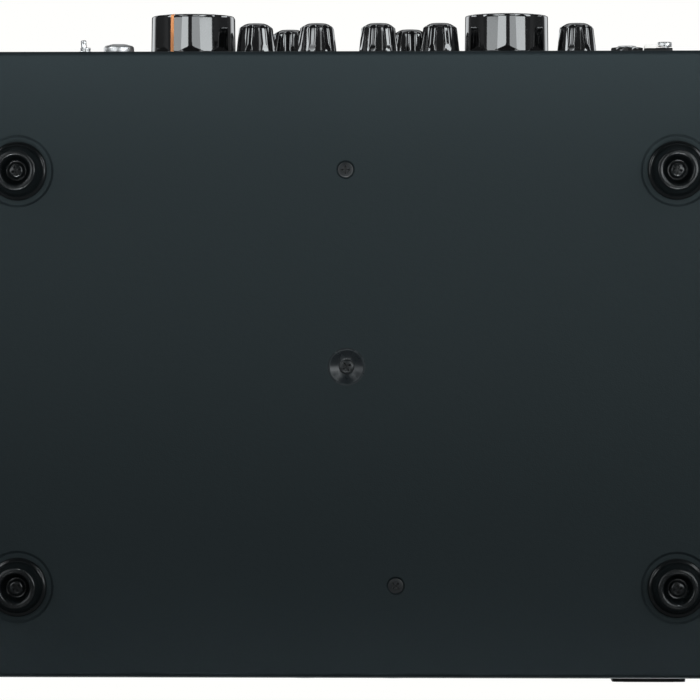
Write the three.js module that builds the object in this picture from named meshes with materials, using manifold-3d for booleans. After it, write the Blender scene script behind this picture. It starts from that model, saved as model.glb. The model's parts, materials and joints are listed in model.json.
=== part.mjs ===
// Two-channel rotary mixing console in a folded steel case.
// Millimetres, +Z up, the front panel faces -Y, origin under the middle of the whole object on the
// surface that its feet stand on. Inside this file every piece is placed in the case frame: x to the
// right, y from the front panel's face (0) to the rear panel's face, z from the underside of the case.
import * as THREE from "three";
import { mergeVertices } from "three/addons/utils/BufferGeometryUtils.js";
import Module from "manifold-3d";

const wasm = await Module();
wasm.setup();

// ---- Driving dimensions -------------------------------------------------------------------------

const slip = 0.3; // gap between pieces that touch
const sheet = 1.5; // steel sheet of the case
const bend = 2.5; // outer radius of a fold
const caseWidth = 440;
const caseDepth = 306.2;
const caseHeight = 88;
const returnFlange = 12; // inward lip along the top of the front and rear walls
const sideFlange = 14; // upright lip that the cover's sides screw to
const footHeight = 12; // from the case's underside to the table

const trayHalfWidth = caseWidth / 2 - sheet - slip;
const trayHeight = caseHeight - sheet - slip;
const inside = sheet + slip; // first free depth behind a panel

// Underside
const footX = 161;
const footFrontY = 58.6;
const footRearY = 261.9;
const seatRadius = 17.8; // shallow round seat pressed into the sheet under each foot
const seatDepth = 0.6;
const dish = { x: 0, y: 154.2, lip: 8.2, floor: 4.6, depth: 4 };
const boardScrewFront = { x: -0.5, y: 58 };
const boardScrewRear = { x: 24, y: 261.1 };
const sink = { mouth: 4.65, hole: 2.2, depth: 2.4 }; // countersink formed for a board screw

// Front panel rows, as heights above the underside
const lowRow = 24;
const sideRow = 26;
const midRow = 44;
const highRow = 63;
const cueRow = 76;
const knobPitch = 30.3;
const volumeX = { left: -77.7, right: 78.5 };
const phonesKnobX = 113;
const micJackX = -113.5;
const micToggleX = -130.1;
const phonesJackX = 137.7;
const monoSwitchX = 153.1;

const smallKnob = { base: 9.75, top: 8.5, height: 14.3, gap: 1, flutes: 10, fluteDepth: 0.9 };
const bigKnob = { base: 21.3, top: 20.8, height: 19, gap: 1.3, flutes: 8, fluteDepth: 0.8 };
const shaftRadius = 2.9;
const shaftClearance = 0.25;
const boreRadius = shaftRadius + shaftClearance;

// Rear panel
const powerX = 147.9;
const powerPlate = { width: 36, low: 14, height: 58, proud: 2.6 };
const outputX = [-22, 22];
const outputZ = 44;
const inputX = [-150, -124, -98, -72];
const inputZ = 56;
const rearProud = 3.5; // furthest that anything stands out behind the rear panel

// ---- Geometry helpers ---------------------------------------------------------------------------

// A closed three.js geometry as a manifold solid.
function solid(geometry) {
  const bare = geometry.index ? geometry.toNonIndexed() : geometry.clone();
  bare.deleteAttribute("normal");
  bare.deleteAttribute("uv");
  const merged = mergeVertices(bare, 1e-4);
  const triangles = [];
  for (let i = 0; i < merged.index.count; i += 3) {
    const [a, b, c] = [0, 1, 2].map((k) => merged.index.getX(i + k));
    if (a !== b && b !== c && c !== a) triangles.push(a, b, c);
  }
  return new wasm.Manifold(
    new wasm.Mesh({
      numProp: 3,
      vertProperties: new Float32Array(merged.attributes.position.array),
      triVerts: new Uint32Array(triangles),
    }),
  );
}

function geometryOf(body) {
  const mesh = body.getMesh();
  const geometry = new THREE.BufferGeometry();
  geometry.setAttribute("position", new THREE.BufferAttribute(mesh.vertProperties, 3));
  geometry.setIndex(new THREE.BufferAttribute(mesh.triVerts, 1));
  geometry.computeVertexNormals();
  return geometry;
}

const joined = (first, ...rest) => rest.reduce((body, other) => body.add(other), first);
const cut = (first, ...rest) => rest.reduce((body, other) => body.subtract(other), first);

// Box between two opposite corners.
function block([x0, y0, z0], [x1, y1, z1]) {
  const geometry = new THREE.BoxGeometry(x1 - x0, y1 - y0, z1 - z0);
  return solid(geometry.translate((x0 + x1) / 2, (y0 + y1) / 2, (z0 + z1) / 2));
}

// Cylinder along Y, from depth y0 to y1, centred on x, z.
function rodY(radius, y0, y1, x, z, sides = 16) {
  const geometry = new THREE.CylinderGeometry(radius, radius, y1 - y0, sides);
  return solid(geometry.translate(x, (y0 + y1) / 2, z));
}

// Cylinder along Z, from height z0 to z1, centred on x, y.
function rodZ(radius, z0, z1, x, y, sides = 16) {
  const geometry = new THREE.CylinderGeometry(radius, radius, z1 - z0, sides).rotateX(Math.PI / 2);
  return solid(geometry.translate(x, y, (z0 + z1) / 2));
}

// Solid of revolution about the upright axis at x, y. The profile lists [radius, height], with the
// material on the left of the path seen with the radius to the right and the height up.
function turned(profile, x, y, sides = 32) {
  const points = profile.map(([radius, height]) => new THREE.Vector2(radius, height));
  return solid(new THREE.LatheGeometry(points, sides).rotateX(Math.PI / 2).translate(x, y, 0));
}

// The same, about an axis that points out of the front panel at x, z: heights run towards the user.
function turnedOut(profile, x, z, sides = 32) {
  const points = profile.map(([radius, height]) => new THREE.Vector2(radius, height));
  return solid(new THREE.LatheGeometry(points, sides).rotateX(Math.PI).translate(x, 0, z));
}

// Closed outline of a sheet folded at right angles. `outer` lists the corners of its outer face, and
// the sheet lies on the left of that path, which turns left at every fold.
function foldedOutline(outer, thickness, radius) {
  const corners = outer.map(([a, b]) => new THREE.Vector2(a, b));
  const last = corners.length - 1;
  const along = corners.slice(1).map((c, i) => c.clone().sub(corners[i]).normalize());
  const left = (d) => new THREE.Vector2(-d.y, d.x);
  const shifted = (point, d, distance) => point.clone().addScaledVector(d, distance);
  const folds = corners.slice(1, last).map((corner, i) => {
    const start = shifted(corner, along[i], -radius);
    const centre = shifted(start, left(along[i]), radius);
    const from = start.clone().sub(centre).angle();
    return { centre, from, to: from + Math.PI / 2 };
  });
  const shape = new THREE.Shape();
  shape.moveTo(corners[0].x, corners[0].y);
  folds.forEach(({ centre, from, to }) => shape.absarc(centre.x, centre.y, radius, from, to, false));
  shape.lineTo(corners[last].x, corners[last].y);
  const innerEnd = shifted(corners[last], left(along[last - 1]), thickness);
  shape.lineTo(innerEnd.x, innerEnd.y);
  [...folds].reverse().forEach(({ centre, from, to }) => {
    shape.absarc(centre.x, centre.y, radius - thickness, to, from, true);
  });
  const innerStart = shifted(corners[0], left(along[0]), thickness);
  shape.lineTo(innerStart.x, innerStart.y);
  return shape;
}

const unitX = new THREE.Vector3(1, 0, 0);
const unitY = new THREE.Vector3(0, 1, 0);
const unitZ = new THREE.Vector3(0, 0, 1);

// A y-z outline pulled along X, centred on x = 0.
function pulledAlongX(shape, width) {
  const geometry = new THREE.ExtrudeGeometry(shape, { depth: width, bevelEnabled: false, curveSegments: 5 });
  const turn = new THREE.Matrix4().makeBasis(unitY, unitZ, unitX);
  return solid(geometry.applyMatrix4(turn).translate(-width / 2, 0, 0));
}

// An x-z outline pulled along Y, from y0 to y1.
function pulledAlongY(shape, y0, y1, curveSegments = 5) {
  const geometry = new THREE.ExtrudeGeometry(shape, { depth: y1 - y0, bevelEnabled: false, curveSegments });
  const turn = new THREE.Matrix4().makeBasis(unitX, unitZ, unitY.clone().negate());
  return solid(geometry.applyMatrix4(turn).translate(0, y1, 0));
}

// Rectangle with rounded corners, centred on x, y of its own plane.
function roundedRectangle(x, y, width, height, radius) {
  const shape = new THREE.Shape();
  const [w, h] = [width / 2 - radius, height / 2 - radius];
  shape.absarc(x + w, y + h, radius, 0, Math.PI / 2, false);
  shape.absarc(x - w, y + h, radius, Math.PI / 2, Math.PI, false);
  shape.absarc(x - w, y - h, radius, Math.PI, 1.5 * Math.PI, false);
  shape.absarc(x + w, y - h, radius, 1.5 * Math.PI, 2 * Math.PI, false);
  shape.closePath();
  return shape;
}

// ---- Materials and the assembly -----------------------------------------------------------------

const finishes = {
  powderCoat: { color: 0x22272a, roughness: 0.55, metalness: 0.1 },
  rubber: { color: 0x101112, roughness: 0.5, metalness: 0 },
  blackScrew: { color: 0x17191a, roughness: 0.35, metalness: 0.8 },
  zinc: { color: 0xa9adb0, roughness: 0.35, metalness: 0.9 },
  chrome: { color: 0xd8dadc, roughness: 0.1, metalness: 1 },
  glossPlastic: { color: 0x0c0d0e, roughness: 0.12, metalness: 0 },
  blackPlastic: { color: 0x161718, roughness: 0.45, metalness: 0 },
  board: { color: 0x1d5a35, roughness: 0.5, metalness: 0 },
  winding: { color: 0x6b4a1e, roughness: 0.6, metalness: 0 },
  smoked: { color: 0x1a0c0a, roughness: 0.15, metalness: 0 },
};

const caseFrame = new THREE.Group();

function place(name, finish, body) {
  const mesh = new THREE.Mesh(geometryOf(body), new THREE.MeshStandardMaterial(finishes[finish]));
  mesh.name = name;
  caseFrame.add(mesh);
}

// ---- Controls on the front panel ----------------------------------------------------------------

const smallControls = [
  { name: "low", side: "left", x: -1.5 * knobPitch, z: lowRow },
  { name: "high", side: "left", x: -0.5 * knobPitch, z: lowRow },
  { name: "mid", side: "left", x: -knobPitch, z: highRow },
  { name: "low", side: "right", x: 0.5 * knobPitch, z: lowRow },
  { name: "high", side: "right", x: 1.5 * knobPitch, z: lowRow },
  { name: "mid", side: "right", x: knobPitch, z: highRow },
  { name: "phones", side: "level", x: phonesKnobX, z: sideRow },
];
const volumeControls = [
  { side: "left", x: volumeX.left, z: midRow },
  { side: "right", x: volumeX.right, z: midRow },
];
const cueControls = [
  { side: "left", x: volumeX.left, z: cueRow },
  { side: "right", x: volumeX.right, z: cueRow },
];

// ---- Case ---------------------------------------------------------------------------------------

const smallBushing = { radius: 3.8, proud: 4, hole: 4.15 };
const bigBushing = { radius: 4.9, proud: 5.5, hole: 5.2 };
const jackBushing = { radius: 4.7, hole: 5 };
const toggleBushing = { radius: 2.6, hole: 2.9, proud: 3.7 };
const cueButton = { radius: 4, hole: 4.35, proud: 4.5 };
const monoButton = { radius: 3.65, x: 156.3 };
const meterWindow = { width: 16, height: 32, z: 62 };
const outputShell = { radius: 11.8, hole: 12.1 };

// A round dent pressed upwards into the sheet: the hollow left below it, the boss it makes above and
// the hole through its floor.
const lead = sheet * 0.6; // the boss's flank lies this much further out than the hollow's
const hollow = ({ x, y, lip, floor, depth, sides }) =>
  turned([[0, -1], [lip, -1], [lip, 0], [floor, depth], [0, depth]], x, y, sides);
const boss = ({ x, y, lip, floor, depth, sides }) => {
  const top = depth + sheet;
  const foot = lip + lead;
  const profile = [[0, sheet / 2], [foot, sheet / 2], [foot, sheet], [floor + lead, top], [0, top]];
  return turned(profile, x, y, sides);
};
const pressedHole = ({ x, y, hole, depth }) => rodZ(hole, -1, depth + sheet + 1, x, y, 16);

const pressings = [
  { ...dish, hole: 2.8, sides: 28 },
  ...[footFrontY, footRearY].flatMap((y) =>
    [-footX, footX].map((x) => ({
      x,
      y,
      lip: seatRadius,
      floor: seatRadius - 1.2,
      depth: seatDepth,
      hole: 2.4,
      sides: 28,
    })),
  ),
  ...[boardScrewFront, boardScrewRear].map(({ x, y }) => ({
    x,
    y,
    lip: sink.mouth,
    floor: sink.hole + 0.1,
    depth: sink.depth,
    hole: sink.hole,
    sides: 20,
  })),
];

function chassisTray() {
  const outline = foldedOutline(
    [
      [returnFlange, trayHeight],
      [0, trayHeight],
      [0, 0],
      [caseDepth, 0],
      [caseDepth, trayHeight],
      [caseDepth - returnFlange, trayHeight],
    ],
    sheet,
    bend,
  );
  const walls = pulledAlongX(outline, 2 * trayHalfWidth);
  const flangeEnd = 20;
  const flanges = [-1, 1].map((side) => {
    const xs = [side * trayHalfWidth, side * (trayHalfWidth - sheet)].sort((a, b) => a - b);
    return block([xs[0], flangeEnd, 0], [xs[1], caseDepth - flangeEnd, sideFlange]);
  });
  const raised = joined(walls, ...flanges, ...pressings.map(boss));
  const tray = cut(raised, ...pressings.map(hollow), ...pressings.map(pressedHole));

  const through = (radius, x, z, sides) => rodY(radius, -1, sheet + 1, x, z, sides);
  const frontHoles = [
    ...smallControls.map(({ x, z }) => through(smallBushing.hole, x, z)),
    ...volumeControls.map(({ x, z }) => through(bigBushing.hole, x, z)),
    ...cueControls.map(({ x, z }) => through(cueButton.hole, x, z)),
    through(jackBushing.hole, micJackX, sideRow),
    through(jackBushing.hole, phonesJackX, sideRow),
    through(toggleBushing.hole, micToggleX, sideRow),
    block([monoSwitchX - 5.6, -1, sideRow - 3.6], [monoSwitchX + 5.6, sheet + 1, sideRow + 3.6]),
    block(
      [-meterWindow.width / 2, -1, meterWindow.z - meterWindow.height / 2],
      [meterWindow.width / 2, sheet + 1, meterWindow.z + meterWindow.height / 2],
    ),
  ];
  const behind = (radius, x, z, sides) => rodY(radius, caseDepth - sheet - 1, caseDepth + 1, x, z, sides);
  const margin = 2.5; // how far the inlet's plate overlaps its cut-out
  const rearHoles = [
    ...inputX.map((x) => behind(jackBushing.hole, x, inputZ)),
    ...outputX.map((x) => behind(outputShell.hole, x, outputZ, 28)),
    block(
      [powerX - powerPlate.width / 2 + margin, caseDepth - sheet - 1, powerPlate.low + margin],
      [
        powerX + powerPlate.width / 2 - margin,
        caseDepth + 1,
        powerPlate.low + powerPlate.height - margin,
      ],
    ),
  ];
  return cut(tray, ...frontHoles, ...rearHoles);
}

function topCover() {
  const outline = foldedOutline(
    [
      [caseWidth / 2, slip],
      [caseWidth / 2, caseHeight],
      [-caseWidth / 2, caseHeight],
      [-caseWidth / 2, slip],
    ],
    sheet,
    bend,
  );
  const shell = pulledAlongY(outline, 0, caseDepth);
  const slot = { width: 3, length: 46, pitch: 10, count: 12 };
  const slots = [];
  for (const y of [120, 190]) {
    for (let i = 0; i < slot.count; i += 1) {
      const x = (i - (slot.count - 1) / 2) * slot.pitch;
      const shape = roundedRectangle(x, y, slot.width, slot.length, slot.width / 2 - 0.01);
      const geometry = new THREE.ExtrudeGeometry(shape, {
        depth: sheet + 2,
        bevelEnabled: false,
        curveSegments: 1,
      });
      slots.push(solid(geometry.translate(0, 0, caseHeight - sheet - 1)));
    }
  }
  return cut(shell, ...slots);
}

place("chassis_tray", "powderCoat", chassisTray());
place("top_cover", "powderCoat", topCover());

// ---- Feet and the fasteners seen from below -----------------------------------------------------

const foot = { flange: 14.4, waist: 12.7, tip: 10.8, flangeHeight: 2, web: 4.2, well: 7.1, wellFloor: 5.2 };
const screwShank = 1.85;

function rubberFoot(x, y) {
  const top = seatDepth - slip;
  return turned(
    [
      [screwShank + slip, -foot.web],
      [foot.wellFloor, -foot.web],
      [foot.well, -footHeight + 0.8],
      [foot.well + 0.8, -footHeight],
      [foot.tip - 1.2, -footHeight],
      [foot.tip - 0.3, -footHeight + 0.4],
      [foot.tip, -footHeight + 1.3],
      [foot.waist, top - foot.flangeHeight - 0.5],
      [foot.flange - 0.4, top - foot.flangeHeight],
      [foot.flange, top - foot.flangeHeight + 0.5],
      [foot.flange, top],
      [screwShank + slip, top],
      [screwShank + slip, -foot.web],
    ],
    x,
    y,
    24,
  );
}

// Cross-shaped driver recess that opens downwards at height z.
function crossRecess(x, y, z, reach, width, depth) {
  const arm = (dx, dy) => block([x - dx, y - dy, z - 1], [x + dx, y + dy, z + depth]);
  return joined(arm(reach, width / 2), arm(width / 2, reach));
}

function panScrew(x, y, { headLow, headHeight, headRadius, shank, end }) {
  const body = turned(
    [
      [0, headLow],
      [headRadius * 0.75, headLow],
      [headRadius, headLow + headHeight * 0.55],
      [headRadius, headLow + headHeight],
      [shank, headLow + headHeight],
      [shank, end],
      [0, end],
    ],
    x,
    y,
    24,
  );
  return body.subtract(crossRecess(x, y, headLow, headRadius * 0.5, headRadius * 0.24, headHeight * 0.5));
}

function sunkScrew(x, y) {
  const face = 0.4; // the head lies this far below the sheet's face
  const body = turned(
    [
      [0, face],
      [3.7, face],
      [3.7, face + 0.25],
      [screwShank, face + 2.0],
      [screwShank, 10.5],
      [0, 10.5],
    ],
    x,
    y,
    24,
  );
  return body.subtract(crossRecess(x, y, face, 2.1, 0.9, 1.2));
}

const corners = [
  ["front_left", -footX, footFrontY],
  ["front_right", footX, footFrontY],
  ["rear_left", -footX, footRearY],
  ["rear_right", footX, footRearY],
];
for (const [corner, x, y] of corners) {
  place(`foot_${corner}`, "rubber", rubberFoot(x, y));
  const headHeight = 2.6;
  const headLow = -foot.web - slip - headHeight;
  const screw = { headLow, headHeight, headRadius: 4, shank: screwShank, end: 8 };
  place(`foot_screw_${corner}`, "blackScrew", panScrew(x, y, screw));
}
for (const [name, { x, y }] of [
  ["front", boardScrewFront],
  ["rear", boardScrewRear],
]) {
  place(`board_screw_${name}`, "blackScrew", sunkScrew(x, y));
}

// ---- Transformer on its centre bolt -------------------------------------------------------------

const toroid = { outer: 44, inner: 14, low: 8.4, high: 42.4, edge: 6 };
const boltRadius = 2.45;
const boltHole = boltRadius + slip;

function ring(inner, outer, low, high, x, y, sides) {
  return turned([[inner, low], [outer, low], [outer, high], [inner, high], [inner, low]], x, y, sides);
}

function toroidalTransformer() {
  const { outer, inner, low, high, edge } = toroid;
  const profile = [
    [inner, low + edge / 2],
    [inner + edge / 2, low],
    [outer - edge, low],
    [outer - edge * 0.3, low + edge * 0.3],
    [outer, low + edge],
    [outer, high - edge],
    [outer - edge * 0.3, high - edge * 0.3],
    [outer - edge, high],
    [inner + edge / 2, high],
    [inner, high - edge / 2],
    [inner, low + edge / 2],
  ];
  return turned(profile, dish.x, dish.y, 28);
}

function hexagonal(hole, radius, low, high, x, y) {
  return rodZ(radius, low, high, x, y, 6).subtract(rodZ(hole, low - 1, high + 1, x, y, 24));
}

const washerTop = toroid.high + slip + 2;
const nutHeight = 5;
const dishTop = dish.depth + sheet;
place("transformer_pad", "rubber", ring(6.5, 42, dishTop + slip, toroid.low - slip, dish.x, dish.y, 28));
place("toroidal_transformer", "winding", toroidalTransformer());
place(
  "transformer_washer",
  "zinc",
  ring(boltHole, 30, toroid.high + slip, washerTop, dish.x, dish.y, 28),
);
place(
  "transformer_nut",
  "zinc",
  hexagonal(boltHole, 5.2, washerTop + slip, washerTop + slip + nutHeight, dish.x, dish.y),
);
place(
  "transformer_bolt",
  "blackScrew",
  panScrew(dish.x, dish.y, {
    headLow: 1.2,
    headHeight: dish.depth - slip - 1.2,
    headRadius: 4.1,
    shank: boltRadius,
    end: washerTop + nutHeight + 3,
  }),
);

// ---- Circuit boards -----------------------------------------------------------------------------

const boardThickness = 1.6;
const boardLow = 12;
const controlBoardY = 12;
const standoffLow = sink.depth + sheet + slip;

for (const [name, { x, y }] of [
  ["front", boardScrewFront],
  ["rear", boardScrewRear],
]) {
  const post = hexagonal(screwShank + slip, 4, standoffLow, boardLow - slip, x, y);
  place(`standoff_${name}`, "zinc", post);
}
place("mixer_board", "board", block([-150, 28, boardLow], [150, 100, boardLow + boardThickness]));
place("output_board", "board", block([-170, 236, boardLow], [90, 268, boardLow + boardThickness]));

// The control board stands behind the front panel and carries the small potentiometers' cans and
// bushings and the cue switches' housings, all soldered to it.
function controlBoard() {
  const board = block([-100, controlBoardY, 8], [125, controlBoardY + boardThickness, 81]);
  const can = 5.5;
  const cans = smallControls.map(({ x, z }) =>
    block([x - can, inside, z - can], [x + can, controlBoardY + 0.1, z + can]),
  );
  const bushings = smallControls.map(({ x, z }) =>
    rodY(smallBushing.radius, -smallBushing.proud, inside + 1, x, z),
  );
  const bores = smallControls.map(({ x, z }) =>
    rodY(boreRadius, -smallBushing.proud - 1, inside + 5, x, z),
  );
  const housing = { half: 4.2, front: 6.5, well: 2, wellEnd: 11.5 };
  const housings = cueControls.map(({ x, z }) =>
    block(
      [x - housing.half, housing.front, z - housing.half],
      [x + housing.half, controlBoardY + 0.1, z + housing.half],
    ),
  );
  const wells = cueControls.map(({ x, z }) => rodY(housing.well, housing.front - 1, housing.wellEnd, x, z));
  return cut(joined(board, ...cans, ...bushings, ...housings), ...bores, ...wells);
}
place("control_board", "board", controlBoard());

// ---- Potentiometers and knobs -------------------------------------------------------------------

// Panel-mounted potentiometer: a round can, a threaded bushing and a blind bore for its shaft.
function volumePot(x, z) {
  const can = rodY(12, inside, 11.2, x, z, 24);
  const bushing = rodY(bigBushing.radius, -bigBushing.proud, inside + 1, x, z);
  const tag = block([x - 7, 3, z - 17], [x + 7, 5, z - 8]);
  return joined(can, bushing, tag).subtract(rodY(boreRadius, -bigBushing.proud - 1, inside + 6, x, z));
}

// Flanks of a fluted knob: a scalloped outline pulled towards the user and drawn in towards the top.
function flutedBody({ base, top, height, flutes, fluteDepth }, gap) {
  const perFlute = 4;
  const outline = [];
  for (let i = 0; i < flutes * perFlute; i += 1) {
    const phase = (i % perFlute) / perFlute;
    const radius = base - fluteDepth * Math.sin(Math.PI * phase);
    const angle = (2 * Math.PI * i) / (flutes * perFlute);
    outline.push(new THREE.Vector2(radius * Math.cos(angle), radius * Math.sin(angle)));
  }
  const shape = new THREE.Shape(outline);
  const geometry = new THREE.ExtrudeGeometry(shape, { depth: 1, steps: 2, bevelEnabled: false });
  const position = geometry.attributes.position;
  const crown = 0.94; // share of the height below the rounded-over top edge
  for (let i = 0; i < position.count; i += 1) {
    const step = Math.round(2 * position.getZ(i));
    const level = [0, crown, 1][step];
    const scale = 1 + (top / base - 1) * level - [0, 0, 0.06][step];
    position.setXYZ(i, position.getX(i) * scale, position.getY(i) * scale, height * level);
  }
  return solid(geometry.rotateX(Math.PI / 2).translate(0, -gap, 0));
}

function knob(spec, bushing, x, z) {
  const { gap, height } = spec;
  const body = flutedBody(spec, gap).translate([x, 0, z]);
  const nutSpace = rodY(bushing.radius + 2.6, -bushing.proud - 1, 1, x, z);
  const bore = rodY(boreRadius, -gap - height + 3, 1, x, z);
  return cut(body, nutSpace, bore);
}

function shaft(spec, depth, x, z) {
  return rodY(shaftRadius, -spec.gap - spec.height + 3 + slip, inside + depth, x, z);
}

for (const { name, side, x, z } of smallControls) {
  place(`${name}_knob_${side}`, "glossPlastic", knob(smallKnob, smallBushing, x, z));
  place(`${name}_shaft_${side}`, "zinc", shaft(smallKnob, 4.6, x, z));
}
for (const { side, x, z } of volumeControls) {
  place(`volume_knob_${side}`, "glossPlastic", knob(bigKnob, bigBushing, x, z));
  place(`volume_shaft_${side}`, "zinc", shaft(bigKnob, 5.6, x, z));
  place(`volume_pot_${side}`, "zinc", volumePot(x, z));
}

// ---- Buttons, toggle and meter ------------------------------------------------------------------

function cueCap(x, z) {
  const stem = rodY(1.7, 3, 9, x, z);
  const { radius, proud } = cueButton;
  const profile = [[0, -3.5], [radius, -3.5], [radius, proud - 0.6], [radius - 0.6, proud], [0, proud]];
  const head = turnedOut(profile, x, z, 24);
  return joined(stem, head);
}
for (const { side, x, z } of cueControls) {
  place(`cue_button_${side}`, "blackPlastic", cueCap(x, z));
}

// Oblong bezel on a housing behind the panel: a raised lamp window at its left, the button at its
// right, over a well for the button's stem.
function monoSwitch() {
  const half = { x: 6.95, z: 5 };
  const [low, high] = [sideRow - half.z, sideRow + half.z];
  const bezel = block([monoSwitchX - half.x, -2.8, low], [monoSwitchX + half.x, -slip, high]);
  const window = block([monoSwitchX - half.x, -3.4, low], [monoSwitchX - 0.6, -slip, high]);
  const body = block([monoSwitchX - 5.3, -1, sideRow - 3.3], [monoSwitchX + 5.3, 16, sideRow + 3.3]);
  const well = rodY(2.4, -5, 12, monoButton.x, sideRow);
  return joined(bezel, window, body).subtract(well);
}
place("mono_switch", "blackPlastic", monoSwitch());

function monoButtonCap() {
  const { x, radius } = monoButton;
  const stem = rodY(2.1, -5, 9, x, sideRow);
  const profile = [[0, 4], [radius, 4], [radius, 5.7], [radius - 0.7, 6.4], [0, 6.4]];
  return joined(stem, turnedOut(profile, x, sideRow, 24));
}
place("mono_button", "chrome", monoButtonCap());

const togglePivotY = 4.5;
function toggleSwitch() {
  const { radius, proud } = toggleBushing;
  const nut = turnedOut([[0, slip], [4.3, slip], [4.3, 1.8], [0, 1.8]], micToggleX, sideRow, 6);
  const bushing = rodY(radius, -proud, inside + 1, micToggleX, sideRow, 20);
  const body = block([micToggleX - 4, inside, sideRow - 6.5], [micToggleX + 4, 13, sideRow + 6.5]);
  const bore = turnedOut(
    [[0, -10], [1.6, -10], [1.6, -2], [2.1, 5.5], [0, 5.5]],
    micToggleX,
    sideRow,
    20,
  );
  return joined(nut, bushing, body).subtract(bore);
}
place("mic_toggle_switch", "chrome", toggleSwitch());

function toggleLever() {
  const lever = turnedOut(
    [[0, -7], [0.8, -7], [0.8, 0], [0.9, 3.4], [1.5, 6.5], [1.2, 7.3], [0, 7.4]],
    0,
    0,
    16,
  );
  const tilt = -5; // rest position, thrown to the left
  return lever
    .translate([0, -togglePivotY, 0])
    .rotate([0, 0, tilt])
    .translate([micToggleX, togglePivotY, sideRow]);
}
place("mic_toggle_lever", "chrome", toggleLever());

function levelMeter() {
  const half = { x: meterWindow.width / 2 - slip, z: meterWindow.height / 2 - slip };
  const low = meterWindow.z - half.z;
  return block([-half.x, -0.5, low], [half.x, controlBoardY - slip, low + 2 * half.z]);
}
place("level_meter", "smoked", levelMeter());

// ---- Sockets ------------------------------------------------------------------------------------

// Quarter-inch jack: a ring nut turned to `profile`, a bushing that stands out of the panel by `out`
// and a boxed body behind it with a blind hole for the plug.
function jackBody({ profile, sides, out }) {
  const nut = turnedOut(profile, 0, 0, sides);
  const bushing = rodY(jackBushing.radius, -out, inside + 1, 0, 0, 20);
  const body = block([-7.8, inside, -8], [7.8, 27, 8]);
  const plugHole = rodY(3.25, -out - 1, 25, 0, 0, 20);
  return joined(nut, bushing, body).subtract(plugHole);
}

const ringNut = (radius, height) => {
  const edge = 0.6;
  return [[0, slip], [radius, slip], [radius, height - edge], [radius - edge, height], [0, height]];
};
const micJack = { profile: ringNut(7.1, 4.8), sides: 28, out: 5.2 };
const phonesJack = { profile: ringNut(7.7, 3.9), sides: 28, out: 3.9 };
const inputJack = { profile: ringNut(7.2, 3), sides: 6, out: rearProud };
place("mic_jack", "chrome", jackBody(micJack).translate([micJackX, 0, sideRow]));
place("phones_jack", "blackPlastic", jackBody(phonesJack).translate([phonesJackX, 0, sideRow]));
["1_left", "1_right", "2_left", "2_right"].forEach((label, i) => {
  const jack = jackBody(inputJack).rotate([0, 0, 180]);
  place(`input_jack_${label}`, "blackPlastic", jack.translate([inputX[i], caseDepth, inputZ]));
});

// Three-pin output connector: flange, round shell and three contact pins standing in the well.
function outputConnector(x) {
  const flange = pulledAlongY(roundedRectangle(x, outputZ, 26, 31, 3), caseDepth + slip, caseDepth + 2, 3);
  const shell = rodY(outputShell.radius, caseDepth - 20, caseDepth + 1, x, outputZ, 28);
  const well = rodY(9.4, caseDepth - 16, caseDepth + 3, x, outputZ, 24);
  const pins = [90, 210, 330].map((degrees) => {
    const angle = THREE.MathUtils.degToRad(degrees);
    const [px, pz] = [x + 4.2 * Math.cos(angle), outputZ - 4.2 * Math.sin(angle)];
    return rodY(1.2, caseDepth - 17, caseDepth - 3, px, pz, 10);
  });
  return joined(cut(joined(flange, shell), well), ...pins);
}
place("xlr_output_left", "blackPlastic", outputConnector(outputX[0]));
place("xlr_output_right", "blackPlastic", outputConnector(outputX[1]));

// Mains inlet with its fuse drawer and rocker in one plate: the socket is lowest, the rocker on top.
const inletZ = 28.5;
const fuseZ = 46;
const rockerZ = 60.5;
const rocker = { halfWidth: 9.2, halfHeight: 7.2, pivotY: caseDepth - 1.5 };
const drawer = { halfWidth: 10, halfHeight: 3.2, depth: 20 };

function powerInlet() {
  const { width, low, height, proud } = powerPlate;
  const plateZ = low + height / 2;
  const face = caseDepth + proud;
  const plate = pulledAlongY(roundedRectangle(powerX, plateZ, width, height, 3), caseDepth + slip, face, 3);
  const body = block(
    [powerX - 14.8, caseDepth - 26, low + 3.2],
    [powerX + 14.8, caseDepth + 1, low + height - 3.2],
  );
  const socket = block([powerX - 12, caseDepth - 16, inletZ - 8.2], [powerX + 12, face + 1, inletZ + 8.2]);
  const bevels = [-1, 1].map((side) => {
    const corner = new THREE.Shape();
    corner.moveTo(powerX + side * 12.1, inletZ + 8.3);
    corner.lineTo(powerX + side * 12.1, inletZ + 3.2);
    corner.lineTo(powerX + side * 7, inletZ + 8.3);
    return pulledAlongY(corner, caseDepth - 17, face - 0.01);
  });
  const pins = [
    [-7, 1],
    [0, -3],
    [7, 1],
  ].map(([dx, dz]) =>
    block(
      [powerX + dx - 1, caseDepth - 17, inletZ + dz - 2],
      [powerX + dx + 1, caseDepth - 2, inletZ + dz + 2],
    ),
  );
  const fuseWell = block(
    [powerX - drawer.halfWidth - slip, caseDepth - drawer.depth - 1, fuseZ - drawer.halfHeight - slip],
    [powerX + drawer.halfWidth + slip, face + 1, fuseZ + drawer.halfHeight + slip],
  );
  const rockerWell = block(
    [powerX - rocker.halfWidth - 0.4, caseDepth - 12, rockerZ - rocker.halfHeight - 0.8],
    [powerX + rocker.halfWidth + 0.4, face + 1, rockerZ + rocker.halfHeight + 0.8],
  );
  return joined(cut(joined(plate, body), socket, fuseWell, rockerWell), ...bevels, ...pins);
}
place("power_inlet", "blackPlastic", powerInlet());

function fuseDrawer() {
  const { halfWidth, halfHeight, depth } = drawer;
  const front = caseDepth + powerPlate.proud + 0.2;
  return block(
    [powerX - halfWidth, caseDepth - depth, fuseZ - halfHeight],
    [powerX + halfWidth, front, fuseZ + halfHeight],
  );
}
place("fuse_drawer", "blackPlastic", fuseDrawer());

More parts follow.
